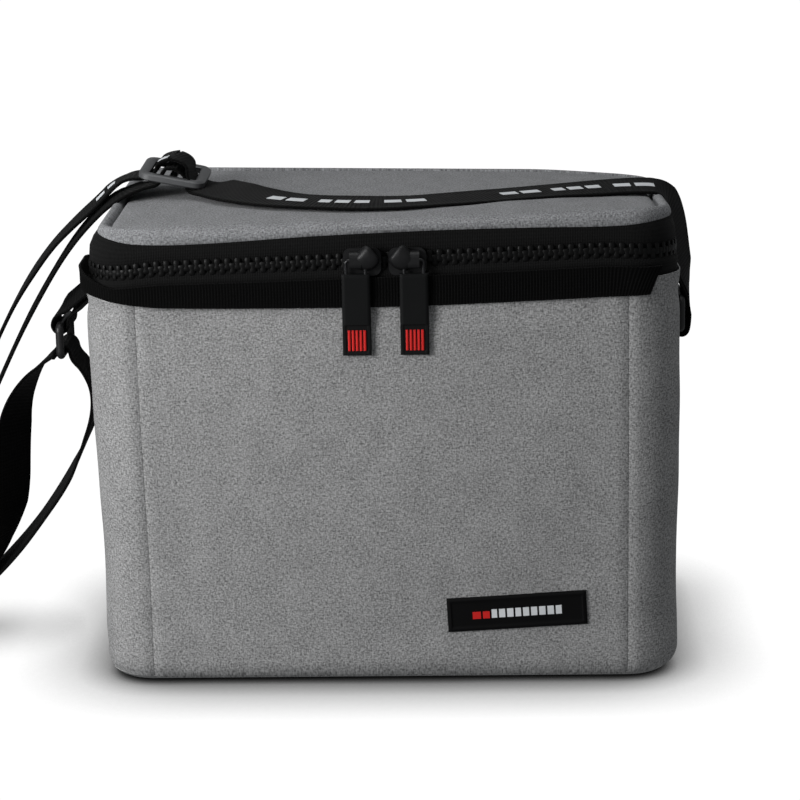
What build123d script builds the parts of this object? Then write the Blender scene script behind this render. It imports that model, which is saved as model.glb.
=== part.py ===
from build123d import *
import os
from math import cos, pi, radians, sin, tan

# Soft insulated lunch bag with a zipped lid and a shoulder strap.  Millimetres.
# X runs to the wearer's right of the front face, Y to the back, Z up.
# The origin is the centre of the flat base.

# ---- Driving dimensions -------------------------------------------------
WIDTH = 240.0
DEPTH = 150.0
CORNER_R = 22.0          # plan radius of the four upright corners
EDGE_R = 10.0            # radius where the walls turn into the base

FABRIC_T = 1.0
FOAM_T = 5.0
LINER_T = 0.6
BOARD_T = 1.5
BOARD_INSET = 11.0

BASE_SEAM_Z = 3.0
BAND_Z = (160.0, 170.5)  # ribbed webbing band round the mouth
PANEL_TOP_Z = 170.0
FOAM_TOP_Z = 166.0
BINDING_TOP_Z = 168.5
BAND_T = 0.8
BAND_RIGHT_END_X = 104.0

# Zip: the two rows of teeth face each other over a parting line.
TAPE_T = 0.8
TOOTH_T = 3.0
TOOTH_PITCH = 4.0
TOOTH_W = 2.5
TOOTH_CORE = 1.0
LOWER_TEETH_Z = (173.5, 175.9)
UPPER_TEETH_Z = (177.1, 179.5)
TEETH_OFFSET = 1.7       # inset of the teeth's outer face from the body
LOWER_TAPE_OFFSET = 1.6
UPPER_TAPE_OFFSET = 3.8
UPPER_TAPE_TOP_Z = 187.0
ZIP_END_Y = 44.0
ZIP_STOP_END_Y = 47.8
HINGE_START_Y = 48.0

# Lid
LID_OFFSET = 3.0         # inset of the lid's side from the body
LID_SIDE_T = 0.8
LID_BOTTOM_Z = 184.0
LID_LINING_T = 0.6
LID_SIDE_Z = 184.5
LID_PANEL_Z = (190.0, 191.0)
LID_RIM_W = 3.5
LID_RIM_H = 1.6
LID_RIM_R = 0.72         # radius on the piping's top edges
HINGE_Y = 72.0
HINGE_Z = 181.0
HINGE_GAP = 0.8

# Sliders and their pulls
LEFT_SLIDER_X = -7.5
RIGHT_SLIDER_X = 10.5
SLIDER_L = 15.0
CROWN_SHIFT = 2.5        # the crown stands this far behind the slider's middle
SLIDER_Z = (171.0, 182.0)
PLATE_T = 1.4
PLATE_R = 3.0
PLATE_GAP = 0.4
DIVIDER_T = 0.6
DIVIDER_L = 6.0
CROWN_W = 4.6
CROWN_H = 4.6
CROWN_L = 6.8            # along Z
CROWN_R = 2.2
CROWN_WALL = 1.1         # over the tunnel the bail runs through
CROWN_LEG = 1.2          # above and below that tunnel
BAIL_AXIS_Y = -77.5
BAIL_AXIS_Z = 177.6
BAIL_W = 9.0
BAIL_DROP = 7.2
BAIL_WIRE = 1.3
BAIL_R = 1.2
PULL_W = 11.4
PULL_T = 2.2
PULL_LENGTH = 33.0
PULL_R = 0.9
PULL_HOLD = 1.9          # the pull closes round this much of the bail's foot
PULL_TIP_LENGTH = 10.5
INLAY_MARGIN = 1.3
INLAY_T = 0.8

# Label
LABEL_SIZE = (57.0, 14.4)
LABEL_CENTRE = (52.7, 31.0)
LABEL_T = 1.4
LABEL_R = 1.2
LABEL_TILT = 2.8

# Shoulder strap: flat webbing, its rings, sewn tabs and length adjuster
STRAP_W = 24.6
STRAP_T = 1.4
TAB_PLY = 2.4
RING_WIRE = 3.4
RING_R = 2.2
RING_SLOT = 25.4
RING_PITCH = 12.6        # between the centres of a ring's two long bars
LEFT_RING = (-139.5, 132.5)
RIGHT_RING = (123.6, 141.0)
LOOP_R = 2.6             # middle of webbing that is wrapped round a ring bar
STRAP_LID_Z = 192.8
LID_EDGE_X = 117.8
ADJUSTER = (24.0, 32.0, 2.4)
ADJUSTER_R = 2.5
ADJUSTER_TILT = 11.0     # its left end stands up where the webbing humps through it
ADJUSTER_SLOT = (6.4, 25.6)
ADJUSTER_SLOT_X = 5.2    # from the middle bar's centre to each slot's
ADJUSTER_SLOT_R = 1.0
ADJUSTER_GAP = 0.1       # between its low end and the webbing under it
ADJUSTER_CENTRE = (-91.0, 9.0)

FAR = 400.0              # larger than the whole bag


# ---- Helpers ------------------------------------------------------------
def plan(inset):
    """Rounded rectangle, set in from the body's outline."""
    return RectangleRounded(WIDTH - 2 * inset, DEPTH - 2 * inset, CORNER_R - inset)


def plate(inset, z0, z1):
    return Pos(0, 0, z0) * extrude(plan(inset), z1 - z0)


def ring(outer, inner, z0, z1):
    return Pos(0, 0, z0) * extrude(plan(outer) - plan(inner), z1 - z0)


def block(x=(-FAR, FAR), y=(-FAR, FAR), z=(-FAR, FAR)):
    size = [b - a for a, b in (x, y, z)]
    centre = [(a + b) / 2 for a, b in (x, y, z)]
    return Pos(*centre) * Box(*size)


def tub(inset, z0, z1, edge_r):
    """Closed envelope with its lower edge rounded."""
    solid = plate(inset, z0, z1)
    lowest = solid.faces().sort_by(Axis.Z)[0]
    return fillet(lowest.edges(), edge_r)


def ribbon(points, radii, thickness, width, centre_y=0.0):
    """Webbing that follows a line in the XZ plane, its width along Y."""
    line = FilletPolyline(*points, radius=radii)
    face = trace(line, thickness)
    solid = extrude(Plane.XZ * face, width / 2, both=True)
    return Pos(0, centre_y, 0) * solid


def natural_radii(points):
    """Largest even arcs that fit between the runs of a route."""
    radii = []
    for before, here, after in zip(points, points[1:], points[2:]):
        a = Vector(*here) - Vector(*before)
        b = Vector(*after) - Vector(*here)
        turn = radians(a.get_angle(b))
        radii.append(0.45 * min(a.length, b.length) / tan(turn / 2))
    return radii


def save(name, solid):
    solid.label = name
    export_step(solid, os.path.join("parts", name + ".step"))


# ---- Body of the bag ----------------------------------------------------
def split_walls(shell):
    """Front, back, left and right pieces: the sides wrap the corners."""
    seam = WIDTH / 2 - CORNER_R
    middle = (-seam, seam)
    return {
        "front": shell & block(x=middle, y=(-FAR, 0)),
        "back": shell & block(x=middle, y=(0, FAR)),
        "left": shell & block(x=(-FAR, -seam)),
        "right": shell & block(x=(seam, FAR)),
    }


def make_body():
    outer = tub(0, 0, PANEL_TOP_Z, EDGE_R)
    inside_fabric = tub(FABRIC_T, FABRIC_T, PANEL_TOP_Z + 1, EDGE_R - FABRIC_T)
    cloth = outer - inside_fabric
    save("base_panel", cloth & block(z=(-1, BASE_SEAM_Z)))
    for side, piece in split_walls(cloth & block(z=(BASE_SEAM_Z, FAR))).items():
        save(side + ("_side_panel" if side in ("left", "right") else "_panel"), piece)

    floor_z = FABRIC_T + BOARD_T + FOAM_T
    inset = FABRIC_T + FOAM_T
    board_z = (FABRIC_T, FABRIC_T + BOARD_T)
    board = plate(BOARD_INSET, *board_z)
    save("base_board", board)

    core = tub(inset, floor_z, FOAM_TOP_Z + 1, EDGE_R - inset)
    foam = inside_fabric & block(z=(0, FOAM_TOP_Z))
    foam = foam - core - board
    save("base_foam", foam & block(z=(0, floor_z)))
    for side, piece in split_walls(foam & block(z=(floor_z, FAR))).items():
        save(side + "_foam", piece)

    hollow = tub(inset + LINER_T, floor_z + LINER_T, FOAM_TOP_Z + 2, EDGE_R - inset - LINER_T)
    save("inner_liner", (core & block(z=(0, FOAM_TOP_Z))) - hollow)
    save("rim_binding", ring(FABRIC_T, inset + LINER_T, FOAM_TOP_Z, BINDING_TOP_Z))
    band = ring(-BAND_T, 0, *BAND_Z)
    save("rim_band", band - block(x=(BAND_RIGHT_END_X, FAR)))

    width, height = LABEL_SIZE
    outline = RectangleRounded(width, height, LABEL_R)
    label = Rot(90, 0, 0) * extrude(outline, LABEL_T)
    label = Rot(0, -LABEL_TILT, 0) * label
    x, z = LABEL_CENTRE
    save("label_patch", Pos(x, -DEPTH / 2, z) * label)


# ---- Zip ----------------------------------------------------------------
def teeth_stations():
    """Place and heading of each tooth, from the left end round the front."""
    inset = TEETH_OFFSET + TOOTH_T / 2
    half_x = WIDTH / 2 - inset
    half_y = DEPTH / 2 - inset
    r = CORNER_R - inset
    side = ZIP_END_Y + half_y - r
    arc = r * pi / 2
    front = 2 * (half_x - r)
    total = 2 * side + 2 * arc + front
    count = int(total / TOOTH_PITCH)
    stations = []
    for i in range(count):
        s = (i + 0.5) * total / count
        mirrored = s > total / 2
        s = total - s if mirrored else s
        if s < side:
            x, y, heading = -half_x, ZIP_END_Y - s, -90.0
        elif s < side + arc:
            turn = (s - side) / r
            x = -half_x + r - r * cos(turn)
            y = -half_y + r - r * sin(turn)
            heading = -90.0 + turn * 180 / pi
        else:
            x, y, heading = -half_x + r + s - side - arc, -half_y, 0.0
        stations.append((-x, y, -heading) if mirrored else (x, y, heading))
    return stations


def teeth_row(z0, z1, core_z0, core_z1):
    core = ring(TEETH_OFFSET, TEETH_OFFSET + TOOTH_T, core_z0, core_z1)
    core = core - block(y=(ZIP_END_Y, FAR))
    teeth = [
        Pos(x, y, (z0 + z1) / 2) * Rot(0, 0, heading) * Box(TOOTH_W, TOOTH_T, z1 - z0)
        for x, y, heading in teeth_stations()
    ]
    return core + teeth


def tape(inset, z0, z1):
    return ring(inset, inset + TAPE_T, z0, z1)


def make_zip():
    low, high = LOWER_TEETH_Z, UPPER_TEETH_Z
    front_part = block(y=(-FAR, HINGE_START_Y))
    back_part = block(y=(HINGE_START_Y, FAR))
    save("lower_zip_teeth", teeth_row(*low, low[0], low[0] + TOOTH_CORE))
    save("upper_zip_teeth", teeth_row(*high, high[1] - TOOTH_CORE, high[1]))
    save("lower_zip_tape", tape(LOWER_TAPE_OFFSET, BINDING_TOP_Z, low[0]) & front_part)
    save("upper_zip_tape", tape(UPPER_TAPE_OFFSET, high[1], UPPER_TAPE_TOP_Z) & front_part)
    fixed = tape(LOWER_TAPE_OFFSET, BINDING_TOP_Z, HINGE_Z - HINGE_GAP)
    save("back_hinge_strip", fixed & back_part)
    turning = tape(UPPER_TAPE_OFFSET, HINGE_Z + HINGE_GAP, UPPER_TAPE_TOP_Z)
    save("lid_hinge_strip", turning & back_part)
    stops = ring(TEETH_OFFSET, TEETH_OFFSET + TOOTH_T, low[0], low[1])
    for side, x in (("left", (-FAR, 0)), ("right", (0, FAR))):
        save(side + "_zip_stop", stops & block(x=x, y=(ZIP_END_Y + 0.2, ZIP_STOP_END_Y)))


# ---- Lid ----------------------------------------------------------------
def make_lid():
    side_in = LID_OFFSET + LID_SIDE_T
    filling = UPPER_TAPE_OFFSET + TAPE_T
    lining_top = LID_BOTTOM_Z + LID_LINING_T
    save("lid_side_band", ring(LID_OFFSET, side_in, LID_SIDE_Z, LID_PANEL_Z[1]))
    save("lid_lining", plate(filling, LID_BOTTOM_Z, lining_top))
    save("lid_foam", plate(filling, lining_top, LID_PANEL_Z[0]))
    save("lid_top_panel", plate(side_in, *LID_PANEL_Z))
    rim = ring(LID_OFFSET, LID_OFFSET + LID_RIM_W, LID_PANEL_Z[1], LID_PANEL_Z[1] + LID_RIM_H)
    top = rim.faces().sort_by(Axis.Z)[-1]
    save("lid_rim_piping", fillet(top.edges(), LID_RIM_R))


# ---- Sliders and pulls --------------------------------------------------
def make_slider(side, x):
    """Two plates behind and before the teeth, joined by the divider between the rows."""
    z0, z1 = SLIDER_Z
    teeth_front = -DEPTH / 2 + TEETH_OFFSET
    teeth_back = teeth_front + TOOTH_T
    front = (teeth_front - PLATE_GAP - PLATE_T, teeth_front - PLATE_GAP)
    back = (teeth_back + PLATE_GAP, teeth_back + PLATE_GAP + PLATE_T)
    outline = RectangleRounded(SLIDER_L, z1 - z0, PLATE_R)
    shield = Rot(90, 0, 0) * extrude(outline, PLATE_T)
    middle = (z0 + z1) / 2
    body = Pos(x, front[1], middle) * shield
    body += Pos(x, back[1], middle) * shield
    parting = (LOWER_TEETH_Z[1] + UPPER_TEETH_Z[0]) / 2
    divider_z = (parting - DIVIDER_T / 2, parting + DIVIDER_T / 2)
    body += block((x - DIVIDER_L / 2, x + DIVIDER_L / 2), (front[0], back[1]), divider_z)

    crown_x = x - CROWN_SHIFT if side == "left" else x + CROWN_SHIFT
    crown_z = (BAIL_AXIS_Z - CROWN_L / 2, BAIL_AXIS_Z + CROWN_L / 2)
    crown_tip = front[0] - CROWN_H
    crown = block((crown_x - CROWN_W / 2, crown_x + CROWN_W / 2), (crown_tip, front[0]), crown_z)
    crown = fillet(crown.edges().filter_by(Axis.X).group_by(Axis.Y)[0], CROWN_R)
    tunnel = block((crown_x - CROWN_W, crown_x + CROWN_W), (crown_tip + CROWN_WALL, front[0]),
                   (crown_z[0] + CROWN_LEG, crown_z[1] - CROWN_LEG))
    save(side + "_slider", body + (crown - tunnel))
    make_pull(side, crown_x)


def make_pull(side, x):
    """Wire bail through the slider's crown, and the flat pull moulded on its foot."""
    half_w = (BAIL_W - BAIL_WIRE) / 2
    bottom = BAIL_AXIS_Z - BAIL_DROP
    loop = FilletPolyline((x - half_w, BAIL_AXIS_Z), (x + half_w, BAIL_AXIS_Z),
                          (x + half_w, bottom), (x - half_w, bottom),
                          radius=BAIL_R, close=True)
    loop = Plane.XZ * loop
    start = Plane(origin=loop @ 0, z_dir=loop % 0)
    bail = Pos(0, BAIL_AXIS_Y, 0) * sweep(start * Circle(BAIL_WIRE / 2), path=loop)
    save(side + "_bail", bail)

    top = bottom + PULL_HOLD
    low = top - PULL_LENGTH
    y = (BAIL_AXIS_Y - PULL_T / 2, BAIL_AXIS_Y + PULL_T / 2)
    body = block((x - PULL_W / 2, x + PULL_W / 2), y, (low, top))
    body = fillet(body.edges().filter_by(Axis.Y), PULL_R) - bail
    half_inlay = PULL_W / 2 - INLAY_MARGIN
    inlay = block((x - half_inlay, x + half_inlay), (y[0], y[0] + INLAY_T),
                  (low + INLAY_MARGIN, low + PULL_TIP_LENGTH))
    save(side + "_pull_tip", inlay)
    save(side + "_pull", body - inlay)


# ---- Shoulder strap -----------------------------------------------------
def ring_bar(centre, sign):
    x, z = centre
    return (x, z + sign * RING_PITCH / 2)


def make_ring(side, centre):
    x, z = centre
    half_y = (RING_SLOT + RING_WIRE) / 2
    half_z = RING_PITCH / 2
    loop = FilletPolyline((-half_y, half_z), (half_y, half_z), (half_y, -half_z),
                          (-half_y, -half_z), radius=RING_R, close=True)
    loop = Plane.YZ * loop
    start = Plane(origin=loop @ 0, z_dir=loop % 0)
    save(side + "_ring", Pos(x, 0, z) * sweep(start * Circle(RING_WIRE / 2), path=loop))


def wrapped(centre, width):
    """Webbing that goes once round a ring's bar."""
    x, z = centre
    half = STRAP_T / 2
    face = Circle(LOOP_R + half) - Circle(LOOP_R - half)
    return Pos(x, 0, z) * extrude(Plane.XZ * face, width / 2, both=True)


def round_bar(centre):
    x, z = centre
    core = extrude(Plane.XZ * Circle(LOOP_R - STRAP_T / 2), STRAP_W, both=True)
    return Pos(x, 0, z) * core


def make_tab(side, centre, route):
    bar = ring_bar(centre, 1)
    strip = ribbon(route, natural_radii(route), TAB_PLY, STRAP_W)
    tab = strip + wrapped(bar, STRAP_W) - round_bar(bar)
    save(side + "_ring_tab", tab - plate(0, 0, PANEL_TOP_Z) - plate(-BAND_T, *BAND_Z))


# The strap's routes, as points in the XZ plane.
OUTER_ROUTE = [
    (-118.8, 193.4), (-131, 186), (-144, 171), (-156, 154), (-169, 130), (-182, 101),
    (-195, 67), (-206, 38), (-210.5, 18), (-205, 7), (-190.5, 11), (-176, 24), (-162, 40),
    (-148, 58), (-137, 76), (-129, 94), (-127, 109), (-132, 119), (-137.4, 123.4),
]
INNER_ROUTE = [
    (-118.8, 190.6), (-133, 179), (-146, 160), (-159, 136), (-173, 107), (-185, 76),
    (-194, 46), (-196, 24), (-188, 17), (-177, 28), (-168, 44), (-163.5, 62),
    (-162.5, 82), (-160, 101), (-153, 116), (-141.8, 125.0),
]
RIGHT_ROUTE = [
    (118.8, 193.0), (123.6, 188), (126.8, 178), (128.5, 164), (128.4, 149), (125.7, 136.2),
]
LEFT_TAB_ROUTE = [(-120.9, 157), (-123, 154), (-130, 149.5), (-138.5, 140.9)]
RIGHT_TAB_ROUTE = [(121.3, 166), (121.6, 158), (123.2, 149.4)]
LID_ROUTE = [
    (-LID_EDGE_X, 6), (-88, 7), (-63, -15), (-33, -29), (6, -36), (48, -23), (88, -8),
    (LID_EDGE_X, -5),
]


def strand(name, route, bar, wrap):
    """A run of webbing that ends against the turn round a ring's bar."""
    solid = ribbon(route, natural_radii(route), STRAP_T, STRAP_W)
    save(name, solid - round_bar(bar) - wrap)


def make_strap():
    make_ring("left", LEFT_RING)
    make_ring("right", RIGHT_RING)
    make_tab("left", LEFT_RING, LEFT_TAB_ROUTE)
    make_tab("right", RIGHT_RING, RIGHT_TAB_ROUTE)

    left_bar = ring_bar(LEFT_RING, -1)
    right_bar = ring_bar(RIGHT_RING, -1)
    left_wrap = wrapped(left_bar, STRAP_W)
    right_wrap = wrapped(right_bar, STRAP_W)
    save("left_ring_wrap", left_wrap)
    save("right_ring_wrap", right_wrap)
    strand("strap_outer_strand", OUTER_ROUTE, left_bar, left_wrap)
    strand("strap_inner_strand", INNER_ROUTE, left_bar, left_wrap)
    strand("strap_right_side", RIGHT_ROUTE, right_bar, right_wrap)

    line = FilletPolyline(*LID_ROUTE, radius=natural_radii(LID_ROUTE))
    span = Pos(0, 0, STRAP_LID_Z) * extrude(trace(line, STRAP_W), STRAP_T)
    save("strap_over_lid", span & block(x=(-LID_EDGE_X, LID_EDGE_X)))

    length, width, height = ADJUSTER
    frame = extrude(RectangleRounded(length, width, ADJUSTER_R), height)
    slot = extrude(RectangleRounded(*ADJUSTER_SLOT, ADJUSTER_SLOT_R), height)
    for sign in (-1, 1):
        frame = frame - Pos(sign * ADJUSTER_SLOT_X, 0, 0) * slot
    lift = length / 2 * sin(radians(ADJUSTER_TILT)) + ADJUSTER_GAP
    place = Pos(*ADJUSTER_CENTRE, STRAP_LID_Z + STRAP_T + lift)
    save("strap_adjuster", place * Rot(0, ADJUSTER_TILT, 0) * frame)


os.makedirs("parts", exist_ok=True)
make_body()
make_zip()
make_lid()
make_slider("left", LEFT_SLIDER_X)
make_slider("right", RIGHT_SLIDER_X)
make_strap()
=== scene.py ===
import math
import random

import bmesh
import bpy
import numpy as np
from mathutils import Matrix, Vector


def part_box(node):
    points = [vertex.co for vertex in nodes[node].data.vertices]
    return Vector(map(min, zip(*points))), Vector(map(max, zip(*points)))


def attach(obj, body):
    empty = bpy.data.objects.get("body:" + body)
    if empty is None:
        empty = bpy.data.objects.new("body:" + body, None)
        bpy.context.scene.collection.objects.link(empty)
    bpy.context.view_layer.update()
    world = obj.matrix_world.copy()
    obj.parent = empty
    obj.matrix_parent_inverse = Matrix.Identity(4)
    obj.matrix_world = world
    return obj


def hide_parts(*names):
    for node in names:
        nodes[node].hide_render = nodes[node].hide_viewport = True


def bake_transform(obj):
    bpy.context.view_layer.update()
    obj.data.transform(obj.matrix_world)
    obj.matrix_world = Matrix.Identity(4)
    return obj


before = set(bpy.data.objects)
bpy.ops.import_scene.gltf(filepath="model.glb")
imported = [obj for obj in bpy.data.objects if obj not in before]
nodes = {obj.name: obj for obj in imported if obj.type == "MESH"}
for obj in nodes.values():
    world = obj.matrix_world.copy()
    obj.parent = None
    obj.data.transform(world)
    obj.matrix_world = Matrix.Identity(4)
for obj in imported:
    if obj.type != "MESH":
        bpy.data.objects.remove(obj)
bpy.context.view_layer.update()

MM = 0.001

# ---- Sizes, read from the frame ------------------------------------------
side_lo, side_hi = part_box("right_side_panel")
HALF_W = side_hi.x
HALF_D = side_hi.y
CORNER_R = side_hi.x - side_lo.x
PANEL_TOP = side_hi.z - 3.7 * MM       # under the band, and clear of the sliders at the ends of their travel
BASE_SEAM = side_lo.z
EDGE_R = 10 * MM
BAND_BOTTOM, BAND_TOP = (c.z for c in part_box("rim_band"))
TEETH_LOW, TEETH_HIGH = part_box("lower_zip_teeth")[0].z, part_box("upper_zip_teeth")[1].z
TEETH_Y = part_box("lower_zip_teeth")[1].y
LID_EDGE_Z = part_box("lid_side_band")[0].z
LID_RIM_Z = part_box("lid_rim_piping")[1].z
LID_INSET = HALF_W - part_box("lid_side_band")[1].x
SEAM_X = HALF_W - CORNER_R
STRAP_W = 24.6 * MM
STRAP_T = 1.4 * MM


# ---- Small helpers --------------------------------------------------------
def smooth(a, b, x):
    """0 below a, 1 above b, and a smooth step between."""
    t = np.clip((x - a) / (b - a), 0, 1)
    return t * t * (3 - 2 * t)


def bump(centre, width, x):
    return np.exp(-((x - centre) / width) ** 2)


def waves(x, y, seed, wavelength):
    """Smooth noise of about one in size: a few sine waves in fixed random directions."""
    rng = random.Random(seed)
    total = np.zeros(np.broadcast(x, y).shape)
    for _ in range(7):
        turn = rng.uniform(0, 2 * math.pi)
        length = wavelength * rng.uniform(0.7, 1.6)
        phase = rng.uniform(0, 2 * math.pi)
        total += np.sin((x * math.cos(turn) + y * math.sin(turn)) * 2 * math.pi / length + phase)
    return total / 3.5


QUARTER = CORNER_R * math.pi / 2
FRONT_HALF = SEAM_X
SIDE_RUN = 2 * (HALF_D - CORNER_R)
HALF_LOOP = 2 * FRONT_HALF + 2 * QUARTER + SIDE_RUN
CORNER_START = FRONT_HALF + QUARTER       # s where the straight of a side begins


def around(s, inset=0.0):
    """Point and outward normal on the bag's outline. s runs from the front's middle, to the right."""
    s, inset = np.broadcast_arrays(np.asarray(s, float), np.asarray(inset, float))
    s = (s + HALF_LOOP) % (2 * HALF_LOOP) - HALF_LOOP
    sign = np.where(s < 0, -1.0, 1.0)
    a = np.abs(s)
    r = CORNER_R - inset
    x = np.where(a < FRONT_HALF, a, 0.0)
    y = np.full(a.shape, -HALF_D) + inset
    nx = np.zeros(a.shape)
    ny = np.full(a.shape, -1.0)
    turn = np.clip((a - FRONT_HALF) / CORNER_R, 0, math.pi / 2)
    first = (a >= FRONT_HALF) & (a < CORNER_START)
    x = np.where(first, SEAM_X + r * np.sin(turn), x)
    y = np.where(first, -HALF_D + CORNER_R - r * np.cos(turn), y)
    nx = np.where(first, np.sin(turn), nx)
    ny = np.where(first, -np.cos(turn), ny)
    side_end = CORNER_START + SIDE_RUN
    side = (a >= CORNER_START) & (a < side_end)
    x = np.where(side, HALF_W - inset, x)
    y = np.where(side, -HALF_D + CORNER_R + a - CORNER_START, y)
    nx = np.where(side, 1.0, nx)
    ny = np.where(side, 0.0, ny)
    turn = np.clip((a - side_end) / CORNER_R, 0, math.pi / 2)
    last = a >= side_end
    x = np.where(last, SEAM_X + r * np.cos(turn) - np.maximum(a - side_end - QUARTER, 0), x)
    y = np.where(last, HALF_D - CORNER_R + r * np.sin(turn), y)
    nx = np.where(last, np.cos(turn), nx)
    ny = np.where(last, np.sin(turn), ny)
    return x * sign, y, nx * sign, ny


def settle(p):
    """The slack of the real bag: its zip line and lid lean a little, and its top flares to the left."""
    x, y, z = p[..., 0], p[..., 1], p[..., 2]
    up = smooth(0.150, 0.172, z)
    back = np.clip((y + HALF_D) / (2 * HALF_D), 0, 1)
    lean_front = 0.4 * MM + 0.0300 * x
    lean_back = -0.3 * MM - 0.0220 * x - 2.4 * MM * smooth(0.06, 0.12, x)
    lift = up * (lean_front * (1 - back) + lean_back * back)
    lift -= 1.6 * MM * smooth(0.085, 0.112, np.abs(x)) * (1 - back) * up * smooth(0.186, 0.181, z)
    sag = -1.6 * MM * bump(0.160, 0.010, z) * (1 - (x / 0.085) ** 2) * smooth(0.0, -0.05, y)
    q = p.copy()
    q[..., 2] += lift + np.clip(sag, -0.002, 0.0025)
    flare = smooth(0.02, 0.17, z) * smooth(-0.02, -HALF_W, x)
    q[..., 0] -= 1.8 * MM * flare - 0.8 * MM * smooth(-0.02, -HALF_W, x)
    return q


def mesh_object(name, verts, faces, uvs=None):
    """A smooth-shaded mesh with sharp edges where it folds. uvs has one pair for each vertex."""
    data = bpy.data.meshes.new(name)
    data.from_pydata([tuple(v) for v in verts], [], faces)
    if uvs is not None:
        layer = data.uv_layers.new(name="UVMap")
        index = np.empty(len(data.loops), int)
        data.loops.foreach_get("vertex_index", index)
        layer.data.foreach_set("uv", np.asarray(uvs, np.float32)[index].ravel())
    data.shade_smooth()
    data.set_sharp_from_angle(angle=math.radians(42))
    data.update()
    piece = bpy.data.objects.new(name, data)
    bpy.context.scene.collection.objects.link(piece)
    return piece


def grid_faces(nu, nv, offset=0, closed=False, flip=False):
    faces = []
    for i in range(nu if closed else nu - 1):
        k = (i + 1) % nu
        for j in range(nv - 1):
            f = (offset + i * nv + j, offset + k * nv + j, offset + k * nv + j + 1, offset + i * nv + j + 1)
            faces.append(f[::-1] if flip else f)
    return faces


def grid_normals(p, closed=False):
    if closed:
        du = np.roll(p, -1, 0) - np.roll(p, 1, 0)
    else:
        du = np.gradient(p, axis=0)
    dv = np.gradient(p, axis=1)
    n = np.cross(du, dv)
    return n / np.maximum(np.linalg.norm(n, axis=2, keepdims=True), 1e-12)


def thick_grid(name, p, uv, thickness, closed=False):
    """A closed sheet: p is its outer face, and its inner face lies thickness behind it."""
    nu, nv = p.shape[:2]
    inner = p - grid_normals(p, closed) * thickness
    verts = np.concatenate([p.reshape(-1, 3), inner.reshape(-1, 3)])
    uvs = np.concatenate([uv.reshape(-1, 2)] * 2)
    half = nu * nv
    faces = grid_faces(nu, nv, 0, closed) + grid_faces(nu, nv, half, closed, flip=True)
    for i in range(nu if closed else nu - 1):
        k = (i + 1) % nu
        faces.append((i * nv, half + i * nv, half + k * nv, k * nv))
        top, far = i * nv + nv - 1, k * nv + nv - 1
        faces.append((top, far, half + far, half + top))
    if not closed:
        for j in range(nv - 1):
            faces.append((j, j + 1, half + j + 1, half + j))
            last = (nu - 1) * nv + j
            faces.append((last, half + last, half + last + 1, last + 1))
    return mesh_object(name, verts, faces, uvs)


def tube_grid(name, rings, uv, cap=True):
    """A closed tube from rings of points, shape (n, m, 3); uv has the same layout."""
    n, m = rings.shape[:2]
    verts = list(rings.reshape(-1, 3))
    uvs = list(uv.reshape(-1, 2))
    faces = []
    for i in range(n - 1):
        for j in range(m):
            k = (j + 1) % m
            faces.append((i * m + j, i * m + k, (i + 1) * m + k, (i + 1) * m + j))
    if cap:
        faces.append(tuple(range(m - 1, -1, -1)))
        faces.append(tuple((n - 1) * m + j for j in range(m)))
    return mesh_object(name, verts, faces, uvs)


def merge_doubles(piece, distance=1e-5):
    work = bmesh.new()
    work.from_mesh(piece.data)
    bmesh.ops.remove_doubles(work, verts=work.verts, dist=distance)
    bmesh.ops.dissolve_degenerate(work, edges=work.edges, dist=distance / 10)
    bmesh.ops.recalc_face_normals(work, faces=work.faces)
    work.to_mesh(piece.data)
    work.free()


def loop_piece(name, rings, settled=True):
    """A closed form from rings round the bag. A ring is (inset, share, z): share draws it to the middle line.

    Any of the three may be a function of the places along the outline.
    """
    s = np.arange(-HALF_LOOP, HALF_LOOP - 1 * MM, 3 * MM)
    spine_half = HALF_W - HALF_D
    points, uvs = [], []
    for inset, share, z in rings:
        x, y, nx, ny = around(s, inset(s) if callable(inset) else inset)
        x = x * (1 - share) + np.clip(x, -spine_half, spine_half) * share
        y = y * (1 - share)
        height = z(x, y, s) if callable(z) else np.full(s.shape, z)
        points.append(np.stack([x, y, height], 1))
        uvs.append(np.stack([x + nx * (LID_RIM_Z - height), y + ny * (LID_RIM_Z - height)], 1))
    p = np.stack(points, 1)
    uv = np.stack(uvs, 1)
    if settled:
        p = settle(p)
    nu, nv = p.shape[:2]
    piece = mesh_object(name, p.reshape(-1, 3), grid_faces(nu, nv, 0, True), uv.reshape(-1, 2))
    merge_doubles(piece)
    piece.data.shade_smooth()
    piece.data.set_sharp_from_angle(angle=math.radians(50))
    return piece


def finish_piece(piece, body, stands_for=(), material=None):
    if material is not None:
        piece.data.materials.clear()
        piece.data.materials.append(material)
    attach(piece, body)
    if stands_for:
        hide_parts(*stands_for)
    return piece


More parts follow.
